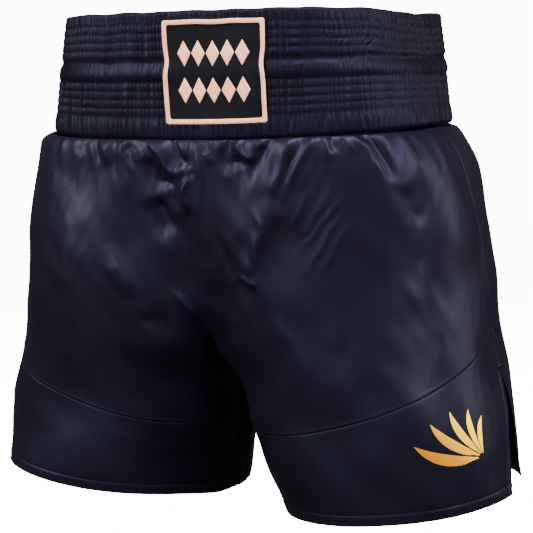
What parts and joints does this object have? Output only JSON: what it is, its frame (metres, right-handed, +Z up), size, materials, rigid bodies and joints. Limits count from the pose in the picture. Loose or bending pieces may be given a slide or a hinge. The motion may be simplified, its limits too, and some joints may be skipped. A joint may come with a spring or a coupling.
{
  "type": "boxing shorts",
  "caption": "Satin boxing shorts with a wide shirred elastic waistband, curved hem panels and open side slits.",
  "frame": {"origin": "the middle of the waistband's rim, level with its top edge", "axes": "+X to the wearer's left, the wearer faces -Y, +Z up out of the waist"},
  "size_m": [0.4674, 0.25, 0.413],
  "materials": {
    "satin": "glossy satin weave",
    "lining": "matte back of the satin",
    "elastic": "ribbed webbing",
    "thread": "polyester thread",
    "patch": "matte twill",
    "patch_thread": "embroidery thread",
    "gold_film": "heat-transfer film, slightly glossy",
    "label": "woven satin tape"
  },
  "bodies": {
    "root": {"waistband_front": "satin", "waistband_back": "satin", "waistband_lining_front": "lining", "waistband_lining_back": "lining", "elastic_upper": "elastic", "elastic_lower": "elastic", "cord_eyelet_left": "thread", "cord_eyelet_right": "thread", "patch_field": "patch", "patch_border": "patch_thread", "patch_motif_upper": "patch_thread", "patch_motif_lower": "patch_thread", "front_panel_left": "satin", "front_panel_right": "satin", "back_panel_left": "satin", "back_panel_right": "satin", "front_hem_panel_left": "satin", "front_hem_panel_right": "satin", "back_hem_panel_left": "satin", "back_hem_panel_right": "satin", "slit_bartack_left": "thread", "slit_bartack_right": "thread", "leg_emblem": "gold_film", "size_label": "label", "care_label": "label"}
  },
  "joints": []
}
